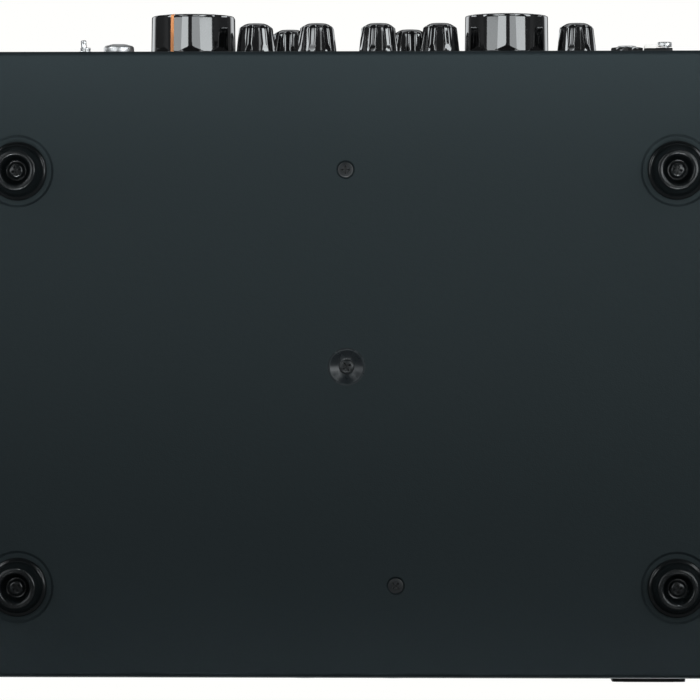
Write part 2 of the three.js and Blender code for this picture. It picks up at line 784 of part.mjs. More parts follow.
// The rocker's face is two planes that meet over its pivot; at rest its lower half is pressed in.
const rockerTilt = -9;
function powerRocker() {
  const { halfWidth, halfHeight, pivotY } = rocker;
  const rise = 2.6; // from the pivot to the ridge between the two planes
  const dip = Math.tan(THREE.MathUtils.degToRad(Math.abs(rockerTilt))) * halfHeight;
  const shape = new THREE.Shape();
  shape.moveTo(-4, -halfHeight + 1.4);
  shape.lineTo(rise + dip, -halfHeight);
  shape.lineTo(rise, 0);
  shape.lineTo(rise + dip, halfHeight);
  shape.lineTo(-4, halfHeight - 1.4);
  shape.closePath();
  return pulledAlongX(shape, 2 * halfWidth)
    .rotate([rockerTilt, 0, 0])
    .translate([powerX, pivotY, rockerZ]);
}
place("power_rocker", "glossPlastic", powerRocker());

// ---- Part frame ---------------------------------------------------------------------------------

const frontProud = bigKnob.gap + bigKnob.height;
caseFrame.position.set(0, (frontProud - caseDepth - rearProud) / 2, footHeight);

const mixingConsole = new THREE.Group();
mixingConsole.add(caseFrame);

export default mixingConsole;
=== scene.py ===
import json
import math

import bmesh
import bpy
from mathutils import Matrix, Vector


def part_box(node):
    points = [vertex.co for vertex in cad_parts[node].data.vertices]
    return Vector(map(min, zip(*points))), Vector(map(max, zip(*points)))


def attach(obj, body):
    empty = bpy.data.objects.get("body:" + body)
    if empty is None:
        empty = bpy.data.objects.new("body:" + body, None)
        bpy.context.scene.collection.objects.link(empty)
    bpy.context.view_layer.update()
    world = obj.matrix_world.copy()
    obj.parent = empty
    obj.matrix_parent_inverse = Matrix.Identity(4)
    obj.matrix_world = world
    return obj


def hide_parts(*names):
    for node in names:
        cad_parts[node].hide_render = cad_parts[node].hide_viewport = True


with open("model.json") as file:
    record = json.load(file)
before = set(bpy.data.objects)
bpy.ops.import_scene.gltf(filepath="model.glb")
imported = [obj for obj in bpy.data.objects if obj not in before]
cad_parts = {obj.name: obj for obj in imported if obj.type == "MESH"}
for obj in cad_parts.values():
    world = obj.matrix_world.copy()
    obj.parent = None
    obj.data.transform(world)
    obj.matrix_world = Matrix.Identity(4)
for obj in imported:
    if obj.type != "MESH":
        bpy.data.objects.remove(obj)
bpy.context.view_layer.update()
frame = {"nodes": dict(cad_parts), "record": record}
nodes = frame["nodes"]
MM = 0.001

# ---- Places that the solids give ---------------------------------------------------------------

tray_low, tray_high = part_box("chassis_tray")
PLATE_Z = tray_low.z
FRONT_Y = tray_low.y
REAR_Y = tray_high.y
CASE_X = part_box("top_cover")[1].x


def middle(node):
    low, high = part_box(node)
    return (low + high) / 2


# ---- Mesh helpers ------------------------------------------------------------------------------


def new_object(name, bm, material, body, smooth=40.0):
    mesh = bpy.data.meshes.new(name)
    bmesh.ops.remove_doubles(bm, verts=bm.verts, dist=1e-7)
    bmesh.ops.recalc_face_normals(bm, faces=bm.faces)
    bm.to_mesh(mesh)
    bm.free()
    mesh.polygons.foreach_set("use_smooth", [True] * len(mesh.polygons))
    mesh.set_sharp_from_angle(angle=math.radians(smooth))
    obj = bpy.data.objects.new(name, mesh)
    bpy.context.scene.collection.objects.link(obj)
    mesh.materials.append(material)
    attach(obj, body)
    return obj


def add_lathe(bm, profile, frame_matrix, sides=64):
    """Solid of revolution: [radius, height] points in mm, turned about the matrix's Z axis."""
    rings = []
    for radius, height in profile:
        if radius < 1e-6:
            rings.append([bm.verts.new(frame_matrix @ Vector((0, 0, height * MM)))])
            continue
        ring = []
        for i in range(sides):
            a = 2 * math.pi * i / sides
            spot = Vector((radius * math.cos(a), radius * math.sin(a), height)) * MM
            ring.append(bm.verts.new(frame_matrix @ spot))
        rings.append(ring)
    for low, high in zip(rings, rings[1:]):
        if len(low) == 1 and len(high) == 1:
            continue
        for i in range(sides):
            j = (i + 1) % sides
            if len(low) == 1:
                bm.faces.new((low[0], high[j], high[i]))
            elif len(high) == 1:
                bm.faces.new((low[i], low[j], high[0]))
            else:
                bm.faces.new((low[i], low[j], high[j], high[i]))


def add_rings(bm, rings, frame_matrix, cap_low=True, cap_high=True):
    """Skin over closed outlines of equal length, each a list of (x, y, z) in mm."""
    made = [[bm.verts.new(frame_matrix @ (Vector(p) * MM)) for p in ring] for ring in rings]
    count = len(made[0])
    for low, high in zip(made, made[1:]):
        for i in range(count):
            j = (i + 1) % count
            bm.faces.new((low[i], low[j], high[j], high[i]))
    if cap_low:
        bm.faces.new(list(reversed(made[0])))
    if cap_high:
        bm.faces.new(made[-1])


def add_box(bm, low, high, frame_matrix):
    """Box between two corners given in mm."""
    (x0, y0, z0), (x1, y1, z1) = low, high
    outline = [(x0, y0), (x1, y0), (x1, y1), (x0, y1)]
    add_rings(bm, [[(x, y, z) for x, y in outline] for z in (z0, z1)], frame_matrix)


CORNER_STEPS = 6


def rounded(half_x, half_y, radius, height):
    """Outline of a rectangle with rounded corners."""
    ring = []
    for corner in range(4):
        cx = (half_x - radius) * (1 if corner in (0, 3) else -1)
        cy = (half_y - radius) * (1 if corner in (0, 1) else -1)
        for i in range(CORNER_STEPS + 1):
            a = math.pi / 2 * (corner + i / CORNER_STEPS)
            ring.append((cx + radius * math.cos(a), cy + radius * math.sin(a), height))
    return ring


def round_like(ring, radius, height):
    """Circle whose points face those of another outline."""
    circle = []
    for x, y, z in ring:
        reach = math.hypot(x, y)
        circle.append((x * radius / reach, y * radius / reach, height))
    return circle


def add_plate(bm, place, half_x, half_y, corner, low, high, edge=0.4, shift=(0.0, 0.0)):
    """Rounded plate with a softened outer edge."""
    rings = [
        rounded(half_x, half_y, corner, low),
        rounded(half_x, half_y, corner, high - edge),
        rounded(half_x - edge * 0.3, half_y - edge * 0.3, corner, high - edge * 0.3),
        rounded(half_x - edge, half_y - edge, corner - edge * 0.5, high),
    ]
    moved = [[(x + shift[0], y + shift[1], z) for x, y, z in ring] for ring in rings]
    add_rings(bm, moved, place)


def facing_user(x, z, spin=0.0):
    """Frame on the front panel's face: its Z points at the user, its Y up."""
    turn = Matrix.Rotation(math.radians(90), 4, "X") @ Matrix.Rotation(math.radians(spin), 4, "Z")
    return Matrix.Translation((x, FRONT_Y, z)) @ turn


def facing_back(x, z):
    """Frame on the rear panel's face: its Z points away from the user, its Y up."""
    turn = Matrix.Rotation(math.radians(-90), 4, "X") @ Matrix.Rotation(math.radians(180), 4, "Z")
    return Matrix.Translation((x, REAR_Y, z)) @ turn


def facing_down(x, y, spin=0.0):
    """Frame on the underside: its Z points down."""
    turn = Matrix.Rotation(math.radians(180), 4, "X") @ Matrix.Rotation(math.radians(spin), 4, "Z")
    return Matrix.Translation((x, y, PLATE_Z)) @ turn


def at_front(node):
    spot = middle(node)
    return facing_user(spot.x, spot.z)


def at_back(node):
    spot = middle(node)
    return facing_back(spot.x, spot.z)


# ---- Materials ---------------------------------------------------------------------------------

# Sockets of a Mix node that mixes colours: its factor, its two colours, and its result.
MIX_FACTOR = 0
MIX_FIRST = 6
MIX_SECOND = 7
MIX_RESULT = 2
WEAR_RADIUS = 0.0006


def link(tree, from_node, output, to_node, socket):
    tree.links.new(from_node.outputs[output], to_node.inputs[socket])


def noise(tree, coordinates, scale, detail=2.0, roughness=0.5):
    node = tree.nodes.new("ShaderNodeTexNoise")
    node.inputs["Scale"].default_value = scale
    node.inputs["Detail"].default_value = detail
    node.inputs["Roughness"].default_value = roughness
    link(tree, coordinates, "Object", node, "Vector")
    return node


def ranged(tree, source, output, low, high, start=0.3, end=0.7):
    """Source's value between start and end, spread from low to high."""
    node = tree.nodes.new("ShaderNodeMapRange")
    for socket, value in (("From Min", start), ("From Max", end), ("To Min", low), ("To Max", high)):
        node.inputs[socket].default_value = value
    link(tree, source, output, node, "Value")
    return node


def mixed(tree, factor, output, first, second):
    """Colour between two linear colours."""
    node = tree.nodes.new("ShaderNodeMix")
    node.data_type = "RGBA"
    node.inputs[MIX_FIRST].default_value = (*first, 1)
    node.inputs[MIX_SECOND].default_value = (*second, 1)
    link(tree, factor, output, node, MIX_FACTOR)
    return node


def surface(
    name,
    dark,
    light,
    roughness,
    metallic=0.0,
    cloud=60.0,
    grain=None,
    wear=None,
    ior=1.5,
    coat=None,
    emission=None,
    specular=None,
):
    """Mottled surface: colour from dark to light and roughness over its range follow a soft noise of
    `cloud` cells per metre. grain is [(cells per metre, bump in mm)], wear is (colour, amount) along
    sharp edges, coat is (weight, roughness), emission is (colour, strength) and specular is
    (level, tint)."""
    material = bpy.data.materials.new(name)
    material.use_nodes = True
    tree = material.node_tree
    shader = tree.nodes["Principled BSDF"]
    shader.inputs["Metallic"].default_value = metallic
    shader.inputs["IOR"].default_value = ior
    coordinates = tree.nodes.new("ShaderNodeTexCoord")
    clouds = noise(tree, coordinates, cloud, detail=4.0, roughness=0.6)
    factor = ranged(tree, clouds, "Fac", 0, 1)
    colour = mixed(tree, factor, "Result", dark, light)
    shade = ranged(tree, clouds, "Fac", roughness[0], roughness[1])
    link(tree, shade, "Result", shader, "Roughness")
    if wear:
        bevel = tree.nodes.new("ShaderNodeBevel")
        bevel.samples = 4
        bevel.inputs["Radius"].default_value = WEAR_RADIUS
        geometry = tree.nodes.new("ShaderNodeNewGeometry")
        dot = tree.nodes.new("ShaderNodeVectorMath")
        dot.operation = "DOT_PRODUCT"
        link(tree, bevel, "Normal", dot, 0)
        link(tree, geometry, "Normal", dot, 1)
        edge = ranged(tree, dot, "Value", wear[1], 0.0, 0.75, 0.97)
        worn = tree.nodes.new("ShaderNodeMix")
        worn.data_type = "RGBA"
        worn.inputs[MIX_SECOND].default_value = (*wear[0], 1)
        link(tree, edge, "Result", worn, MIX_FACTOR)
        link(tree, colour, MIX_RESULT, worn, MIX_FIRST)
        colour = worn
    link(tree, colour, MIX_RESULT, shader, "Base Color")
    previous = None
    for scale, height in grain or []:
        cells = noise(tree, coordinates, scale)
        bump = tree.nodes.new("ShaderNodeBump")
        bump.inputs["Strength"].default_value = 1.0
        bump.inputs["Distance"].default_value = height * MM
        link(tree, cells, "Fac", bump, "Height")
        if previous:
            link(tree, previous, "Normal", bump, "Normal")
        previous = bump
    if previous:
        link(tree, previous, "Normal", shader, "Normal")
    if coat:
        shader.inputs["Coat Weight"].default_value = coat[0]
        shader.inputs["Coat Roughness"].default_value = coat[1]
    if emission:
        shader.inputs["Emission Color"].default_value = (*emission[0], 1)
        shader.inputs["Emission Strength"].default_value = emission[1]
    if specular:
        shader.inputs["Specular IOR Level"].default_value = specular[0]
        shader.inputs["Specular Tint"].default_value = (*specular[1], 1)
    return material


POWDER = surface(
    "powder_coat",
    (0.0104, 0.0142, 0.0170),
    (0.0124, 0.0168, 0.0196),
    (0.50, 0.58),
    cloud=9,
    grain=[(1500, 0.06), (420, 0.05)],
    wear=((0.03, 0.036, 0.038), 0.35),
    specular=(0.3, (0.8, 1.0, 1.0)),
)
STRETCHED = surface("stretched_coat", (0.0104, 0.0142, 0.0170), (0.0124, 0.0168, 0.0196), (0.24, 0.3),
                    grain=[(420, 0.03)])
RUBBER = surface("rubber", (0.0036, 0.0048, 0.0054), (0.006, 0.0078, 0.0086), (0.17, 0.25), cloud=120,
                 grain=[(900, 0.02)])
BLACK_STEEL = surface(
    "black_steel",
    (0.011, 0.013, 0.0145),
    (0.018, 0.0205, 0.022),
    (0.26, 0.36),
    metallic=0.1,
    cloud=500,
    grain=[(2500, 0.01)],
    wear=((0.12, 0.12, 0.12), 0.5),
)
OILED_STEEL = surface("oiled_steel", (0.004, 0.005, 0.0055), (0.007, 0.0085, 0.0095), (0.16, 0.24),
                      cloud=300, grain=[(1800, 0.01)])
ZINC = surface("zinc_plate", (0.42, 0.43, 0.45), (0.56, 0.56, 0.55), (0.25, 0.4), metallic=1, cloud=250,
               grain=[(2500, 0.01)])
BRASS = surface("gold_plate", (0.72, 0.5, 0.2), (0.8, 0.57, 0.26), (0.2, 0.3), metallic=1, cloud=300)
CHROME = surface("chrome", (0.9, 0.9, 0.9), (0.96, 0.96, 0.96), (0.34, 0.44), metallic=1, cloud=300,
                 grain=[(2500, 0.004)])
BRIGHT = surface("polished_chrome", (0.9, 0.9, 0.9), (0.96, 0.96, 0.96), (0.12, 0.18), metallic=1,
                 cloud=300, grain=[(2500, 0.004)])
GLOSS = surface(
    "gloss_plastic",
    (0.0035, 0.0038, 0.0042),
    (0.006, 0.0062, 0.0068),
    (0.05, 0.09),
    cloud=150,
    ior=1.8,
    coat=(1.0, 0.03),
    wear=((0.02, 0.02, 0.021), 0.3),
)
SATIN = surface("black_plastic", (0.007, 0.0073, 0.0078), (0.011, 0.0112, 0.012), (0.36, 0.46),
                cloud=200, grain=[(1600, 0.015)], wear=((0.03, 0.03, 0.03), 0.3))
BOARD = surface("circuit_board", (0.006, 0.06, 0.026), (0.01, 0.085, 0.035), (0.3, 0.42), cloud=150,
                grain=[(700, 0.02)])
WINDING = surface("winding", (0.20, 0.105, 0.02), (0.36, 0.2, 0.05), (0.25, 0.4), cloud=220,
                  grain=[(350, 0.15)])
LENS = surface("smoked_lens", (0.006, 0.003, 0.003), (0.012, 0.006, 0.005), (0.06, 0.1), cloud=200,
               coat=(1.0, 0.03))
ORANGE = surface("orange_line", (0.95, 0.34, 0.10), (1.0, 0.38, 0.13), (0.3, 0.4), cloud=300,
                 grain=[(1500, 0.01)])
PRINT = surface("white_print", (0.55, 0.56, 0.56), (0.68, 0.68, 0.68), (0.45, 0.55), cloud=400,
                grain=[(1500, 0.008)])
MILKY = surface("milky_lens", (0.72, 0.72, 0.7), (0.8, 0.8, 0.78), (0.15, 0.25), cloud=200,
                coat=(0.6, 0.1), emission=((1.0, 0.98, 0.94), 0.6))
CERAMIC = surface("component_body", (0.012, 0.012, 0.014), (0.02, 0.02, 0.022), (0.4, 0.55), cloud=300)
SLEEVE = surface("capacitor_sleeve", (0.012, 0.03, 0.07), (0.02, 0.045, 0.1), (0.25, 0.35), cloud=200)

# Every CAD node takes the finish of its slot, and a small bevel on its sharp edges.
WELD_DISTANCE = 1e-6
BEVEL_WIDTH = 0.00025
SHARP_ANGLE = math.radians(40)
slot_material = {
    "powder_coat": POWDER,
    "rubber": RUBBER,
    "black_steel": BLACK_STEEL,
    "zinc_plate": ZINC,
    "chrome": CHROME,
    "gloss_plastic": GLOSS,
    "black_plastic": SATIN,
    "circuit_board": BOARD,
    "winding": WINDING,
    "smoked_lens": LENS,
}
for part in frame["record"]["subparts"]:
    node = nodes[part["node"]]
    node.data.materials.clear()
    node.data.materials.append(slot_material[part["material_slot"]])
    weld = node.modifiers.new("weld", "WELD")
    weld.merge_threshold = WELD_DISTANCE
    bevel = node.modifiers.new("bevel", "BEVEL")
    bevel.width = BEVEL_WIDTH
    bevel.segments = 2
    bevel.limit_method = "ANGLE"
    bevel.angle_limit = SHARP_ANGLE
    bevel.harden_normals = False

# ---- Knobs -------------------------------------------------------------------------------------

HALVINGS = 30
WALL_STEPS = 6
FLOOR_STEPS = 5
LAND_STEPS = 6


def groove(flute, floor, across):
    """Distance from the axis of a groove's surface: a flat floor, a bend, then straight walls."""
    _, flat, bend, steepest = flute
    beyond = max(0.0, abs(across) - flat)
    turn = math.radians(steepest)
    straight = beyond - bend * math.sin(turn)
    if straight <= 0:
        return floor + bend - math.sqrt(bend**2 - beyond**2)
    return floor + bend * (1 - math.cos(turn)) + straight * math.tan(turn)


def crossing(flute, floor, radius, round_body):
    """Half the groove's width where it meets a round body, or a skirt as high as `radius`."""
    low, high = 0.0, radius * 0.5
    for _ in range(HALVINGS):
        across = (low + high) / 2
        level = math.sqrt(radius**2 - across**2) if round_body else radius
        if groove(flute, floor, across) < level:
            low = across
        else:
            high = across
    return low


def fluted_ring(radius, height, floor, skirt, flute):
    """Outline of a knob at one height, in mm. flute is (count, half the floor's width, bend radius,
    steepest wall in degrees); skirt is the radius of the cone that the grooves run out on. The
    middle of the first land, where a pointer goes, is at 90 degrees."""
    width = crossing(flute, floor, radius, True)
    inner = min(width, max(flute[1], crossing(flute, floor, skirt, False), 0.1))
    walls = [inner + (width - inner) * i / WALL_STEPS for i in range(WALL_STEPS + 1)]
    spots = [-x for x in reversed(walls)]
    spots += [inner * i / FLOOR_STEPS for i in range(1 - FLOOR_STEPS, FLOOR_STEPS)]
    spots += walls
    edge = math.atan2(width, math.sqrt(radius**2 - width**2))
    pitch = 2 * math.pi / flute[0]
    ring = []
    for number in range(flute[0]):
        centre = math.pi / 2 + pitch * (number + 0.5)
        polar = []
        for across in spots:
            rim = math.sqrt(radius**2 - across**2)
            out = min(rim, max(groove(flute, floor, across), skirt))
            polar.append((math.atan2(across, out), math.hypot(across, out)))
        land = pitch - 2 * edge
        polar += [(edge + land * i / LAND_STEPS, radius) for i in range(1, LAND_STEPS)]
        for turn, distance in polar:
            angle = centre + turn
            ring.append((distance * math.cos(angle), distance * math.sin(angle), height))
    return ring


def knob(name, node, body, levels, flute, spin, sharp):
    """levels lists (radius, height, groove floor, skirt) from the panel outwards, in mm."""
    spot = middle(node)
    place = facing_user(spot.x, spot.z, spin)
    bm = bmesh.new()
    add_rings(bm, [fluted_ring(*level, flute) for level in levels], place)
    piece = new_object(name, bm, GLOSS, body, smooth=sharp)
    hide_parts(node)
    return place


BIG_FLUTE = (8, 0.0, 7.6, 12.5)
BIG_LEVELS = [
    (15.0, 3.0, 15.0, 15.0),
    (20.6, 2.6, 20.6, 20.6),
    (21.1, 1.3, 21.1, 21.1),
    (21.3, 1.7, 21.3, 21.3),
    (21.3, 2.0, 19.85, 21.3),
    (21.29, 2.6, 19.85, 20.85),
    (21.28, 3.2, 19.85, 20.42),
    (21.27, 3.8, 19.85, 20.05),
    (21.26, 4.5, 19.85, 19.85),
    (21.22, 7.0, 19.85, 0),
    (21.1, 13.0, 19.8, 0),
    (21.0, 18.6, 19.8, 0),
    (20.98, 19.2, 19.8, 0),
    (20.85, 19.7, 19.75, 0),
    (20.5, 20.05, 19.6, 0),
    (20.0, 20.25, 19.4, 0),
    (19.3, 20.3, 19.3, 19.3),
    (18.6, 20.3, 18.6, 18.6),
    (18.2, 20.1, 18.2, 18.2),
    (17.6, 19.8, 17.6, 17.6),
    (10.0, 19.5, 10.0, 10.0),
    (2.0, 19.45, 2.0, 2.0),
]
SMALL_FLUTE = (7, 0.6, 2.6, 78.0)
SMALL_LEVELS = [
    (7.0, 3.2, 7.0, 7.0),
    (9.2, 2.6, 9.2, 9.2),
    (9.6, 0.2, 9.6, 9.6),
    (9.75, 0.35, 9.75, 9.75),
    (9.7, 0.9, 9.2, 9.66),
    (9.59, 1.9, 9.07, 9.4),
    (9.5, 2.7, 8.95, 9.2),
    (9.42, 3.5, 8.83, 8.95),
    (9.28, 4.8, 8.62, 0),
    (8.97, 7.8, 8.05, 0),
    (8.67, 10.6, 7.5, 0),
    (8.48, 12.4, 7.1, 0),
    (8.38, 12.9, 6.95, 0),
    (8.1, 13.25, 6.8, 0),
    (7.3, 13.75, 6.7, 0),
    (6.4, 14.25, 6.4, 6.4),
    (5.4, 14.8, 5.4, 5.4),
    (4.4, 15.15, 4.4, 4.4),
    (3.8, 15.1, 3.8, 3.8),
    (1.0, 15.05, 1.0, 1.0),
]


POINTER_RISE = 0.06
POINTER_SINK = -0.5
POINTER_SECTION = ((-1, POINTER_SINK), (1, POINTER_SINK), (1, POINTER_RISE), (-1, POINTER_RISE))


def pointer_strip(name, place, body, material, width, path):
    """Line on a knob, sunk into it and a little raised: path lists (radius, height, (out, up)) in mm,
    where (out, up) is the knob's outward direction there."""
    bm = bmesh.new()
    rings = []
    for radius, height, (out, up) in path:
        section = []
        for side, lift in POINTER_SECTION:
            section.append((side * width / 2, radius + out * lift, height + up * lift))
        rings.append(section)
    add_rings(bm, rings, place)
    return new_object(name, bm, material, body, smooth=50)


BIG_POINTER = [
    (21.3, 1.5, (1, 0)),
    (21.22, 7.0, (1, 0)),
    (21.0, 18.9, (1, 0)),
    (20.9, 19.5, (0.95, 0.3)),
    (20.6, 19.95, (0.7, 0.7)),
    (20.1, 20.2, (0.3, 0.95)),
    (19.4, 20.3, (0, 1)),
    (18.6, 20.3, (0, 1)),
    (18.2, 20.1, (0, 1)),
    (17.6, 19.8, (0, 1)),
    (10.0, 19.5, (0, 1)),
]
SMALL_POINTER = [
    (8.97, 7.8, (1, 0)),
    (8.67, 10.6, (1, 0)),
    (8.48, 12.4, (0.97, 0.2)),
    (8.38, 12.9, (0.85, 0.5)),
    (8.1, 13.25, (0.6, 0.8)),
    (7.3, 13.75, (0.45, 0.9)),
    (6.4, 14.25, (0.45, 0.9)),
    (5.4, 14.8, (0.4, 0.92)),
    (4.4, 15.15, (0.2, 0.98)),
]
POINTER_OFFSET = -3.4  # degrees from the middle of its land
BIG_POINTER_WIDTH = 1.7
SMALL_POINTER_WIDTH = 1.1

# Each big knob's turn in degrees, and its body.
big_knobs = {"left": (157.4, "volume_left"), "right": (-22.5, "volume_right")}
for side, (spin, body) in big_knobs.items():
    place = knob(f"volume_cap_{side}", f"volume_knob_{side}", body, BIG_LEVELS, BIG_FLUTE, spin, 22)
    place = place @ Matrix.Rotation(math.radians(POINTER_OFFSET), 4, "Z")
    pointer_strip(f"volume_pointer_{side}", place, body, ORANGE, BIG_POINTER_WIDTH, BIG_POINTER)
# Each small knob's turn in degrees.
small_knobs = {
    ("low", "left"): -19.0,
    ("mid", "left"): -4.0,
    ("high", "left"): -14.0,
    ("low", "right"): -18.0,
    ("mid", "right"): 7.0,
    ("high", "right"): -25.7,
    ("phones", "level"): -19.0,
}
for (label, side), spin in small_knobs.items():
    body = f"{label}_{side}"
    node = f"{label}_knob_{side}"
    place = knob(f"{label}_cap_{side}", node, body, SMALL_LEVELS, SMALL_FLUTE, spin, 30)
    pointer_strip(f"{label}_pointer_{side}", place, body, PRINT, SMALL_POINTER_WIDTH, SMALL_POINTER)

# ---- Underside: feet and screws ----------------------------------------------------------------

# A cross recess's shape: where its arms' points start, and how its floor narrows.
ARM_SHOULDER = 0.92
FLOOR_LENGTH = 0.55
FLOOR_WIDTH = 0.8


def add_cross_head(bm, profile, place, sides=48, reach=2.3, slot=0.95, depth=1.6):
    """Screw head: a turned shell whose top is a flat face with a cross recess sunk into it. The
    profile starts at the rim of that face and runs down to the shank."""
    face_height = profile[0][1]
    rings = []
    for radius, height in profile:
        ring = []
        for i in range(sides):
            a = 2 * math.pi * (i + 0.5) / sides
            ring.append((radius * math.cos(a), radius * math.sin(a), height))
        rings.append(ring)
    corner = slot / 2
    shoulder = reach * ARM_SHOULDER
    cross = []
    for quarter in range(4):
        turn = Matrix.Rotation(math.pi / 2 * quarter, 3, "Z")
        for x, y in ((corner, -corner), (shoulder, -corner), (reach, 0), (shoulder, corner)):
            spot = turn @ Vector((x, y, 0))
            cross.append((spot.x, spot.y))
    made = []
    for ring in rings:
        made.append([bm.verts.new(place @ (Vector(p) * MM)) for p in ring])
    for low, high in zip(made, made[1:]):
        for i in range(sides):
            j = (i + 1) % sides
            bm.faces.new((low[i], low[j], high[j], high[i]))
    bm.faces.new(made[-1])
    top = []
    for x, y in cross:
        top.append(bm.verts.new(place @ (Vector((x, y, face_height)) * MM)))
    floor = []
    for x, y in cross:
        spot = Vector((x * FLOOR_LENGTH, y * FLOOR_WIDTH, face_height - depth))
        floor.append(bm.verts.new(place @ (spot * MM)))
    count = len(cross)
    for i in range(count):
        j = (i + 1) % count
        bm.faces.new((top[i], top[j], floor[j], floor[i]))
    bm.faces.new(floor)
    rim_edges = [bm.edges.get((made[0][i], made[0][(i + 1) % sides])) for i in range(sides)]
    slot_edges = [bm.edges.get((top[i], top[(i + 1) % count])) for i in range(count)]
    bmesh.ops.triangle_fill(bm, edges=rim_edges + slot_edges, use_beauty=True)


FOOT_PROFILE = [
    (2.3, 4.2),
    (4.7, 4.2),
    (5.2, 4.35),
    (5.45, 4.8),
    (6.6, 9.6),
    (7.0, 11.0),
    (7.2, 11.55),
    (7.55, 11.88),
    (8.0, 12.0),
    (9.2, 12.0),
    (9.65, 11.88),
    (10.0, 11.55),
    (10.2, 11.0),
    (10.5, 9.6),
    (11.9, 4.4),
    (12.3, 2.9),
    (12.9, 2.15),
    (13.5, 1.85),
    (14.0, 1.6),
    (14.3, 1.1),
    (14.4, 0.5),
    (14.4, -0.3),
    (2.3, -0.3),
]
PAN_HEAD = [
    (2.6, 2.55),
    (3.3, 2.35),
    (3.8, 1.85),
    (4.0, 1.1),
    (4.0, 0.0),
    (1.85, 0.0),
    (1.85, -12.4),
    (0.3, -12.4),
]
SUNK_HEAD = [(3.3, 0.0), (3.62, -0.08), (3.7, -0.25), (1.85, -2.0), (1.85, -10.0), (0.3, -10.0)]
BOLT_HEAD = [
    (2.4, 2.5),
    (3.4, 2.3),
    (3.9, 1.8),
    (4.1, 1.0),
    (4.1, 0.0),
    (2.45, 0.0),
    (2.45, -47.0),
    (0.4, -47.0),
]

FOOT_SCREW_SEAT = 4.5  # the foot's inner floor, from the plate
SUNK_SCREW_DEPTH = 0.4
BOLT_HEAD_HEIGHT = 2.5

foot_spins = {"front_left": 20, "front_right": -12, "rear_left": 38, "rear_right": 8}
for corner, spin in foot_spins.items():
    spot = middle(f"foot_{corner}")
    place = facing_down(spot.x, spot.y, spin)
    bm = bmesh.new()
    add_lathe(bm, FOOT_PROFILE + [FOOT_PROFILE[0]], place, sides=96)
    foot = new_object(f"rubber_foot_{corner}", bm, RUBBER, "console", smooth=60)
    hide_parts(f"foot_{corner}")
    screw_place = place @ Matrix.Translation((0, 0, FOOT_SCREW_SEAT * MM))
    bm = bmesh.new()
    add_cross_head(bm, PAN_HEAD, screw_place)
    screw = new_object(f"foot_screw_head_{corner}", bm, OILED_STEEL, "console", smooth=35)
    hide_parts(f"foot_screw_{corner}")

for label, spin in (("front", 0), ("rear", 45)):
    spot = middle(f"board_screw_{label}")
    place = facing_down(spot.x, spot.y, spin) @ Matrix.Translation((0, 0, -SUNK_SCREW_DEPTH * MM))
    bm = bmesh.new()
    add_cross_head(bm, SUNK_HEAD, place, reach=2.1, slot=0.85, depth=1.3)
    screw = new_object(f"board_screw_head_{label}", bm, BLACK_STEEL, "console", smooth=35)
    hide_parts(f"board_screw_{label}")

# The smooth lining of the pressed dish round the transformer's bolt, and the bolt.
DISH_PROFILE = [
    (2.3, -1.9),
    (3.2, -1.85),
    (4.2, -1.65),
    (5.4, -1.25),
    (6.6, -0.75),
    (7.6, -0.3),
    (8.2, -0.03),
    (8.6, 0.03),
    (9.2, 0.0),
]
bolt_spot = middle("transformer_bolt")
bm = bmesh.new()
add_lathe(bm, DISH_PROFILE, facing_down(bolt_spot.x, bolt_spot.y, 0), sides=96)
new_object("pressed_dish", bm, STRETCHED, "console", smooth=60)
bolt_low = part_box("transformer_bolt")[0].z
bolt_sunk = Matrix.Translation((0, 0, PLATE_Z - bolt_low - BOLT_HEAD_HEIGHT * MM))
bm = bmesh.new()
add_cross_head(bm, BOLT_HEAD, facing_down(bolt_spot.x, bolt_spot.y, 30) @ bolt_sunk)
bolt = new_object("transformer_bolt_head", bm, BLACK_STEEL, "console", smooth=35)
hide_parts("transformer_bolt")

# ---- Front panel: sockets, switches, buttons, meter and dials ------------------------------------


def add_nut(bm, place, sides, inner, flat, low, high, chamfer=0.5):
    """Nut with `sides` flats at distance `flat` from its axis, chamfered, with a round bore."""
    count = 96
    corner = math.pi / sides
    steps = [
        (flat - chamfer * 0.2, low, True),
        (flat / math.cos(corner), low + chamfer, True),
        (flat / math.cos(corner), high - chamfer, True),
        (flat - chamfer * 0.2, high, True),
        (inner, high, False),
        (inner, low, False),
        (flat - chamfer * 0.2, low, True),
    ]
    rings = []
    for limit, height, flats in steps:
        ring = []
        for i in range(count):
            a = 2 * math.pi * i / count
            reach = flat / math.cos((a + corner) % (2 * corner) - corner)
            radius = min(limit, reach) if flats else limit
            ring.append((radius * math.cos(a), radius * math.sin(a), height))
        rings.append(ring)
    add_rings(bm, rings, place, cap_low=False, cap_high=False)


JACK_BORE = 3.25
JACK_BUSHING = 4.7
JACK_NUT_BORE = 4.75
JACK_DEPTH = 24.0
PANEL_BACK = 2.2
THREAD_TURNS = 5


def add_socket(bm, place, out):
    """Threaded bushing of a quarter-inch jack that stands `out` from its panel, with its sleeve."""
    bore = JACK_BORE
    bushing = JACK_BUSHING
    profile = [
        (bore, -JACK_DEPTH),
        (bore, out - 0.7),
        (bore + 0.6, out),
        (bushing - 0.4, out),
        (bushing, out - 0.4),
    ]
    for i in range(THREAD_TURNS):
        height = out - 0.6 - i * 0.5
        profile.append((bushing - 0.25, height))
        profile.append((bushing, height - 0.25))
    profile += [(bushing, -PANEL_BACK), (bore + 0.9, -PANEL_BACK), (bore + 0.9, -JACK_DEPTH)]
    profile.append((bore, -JACK_DEPTH))
    add_lathe(bm, profile, place)


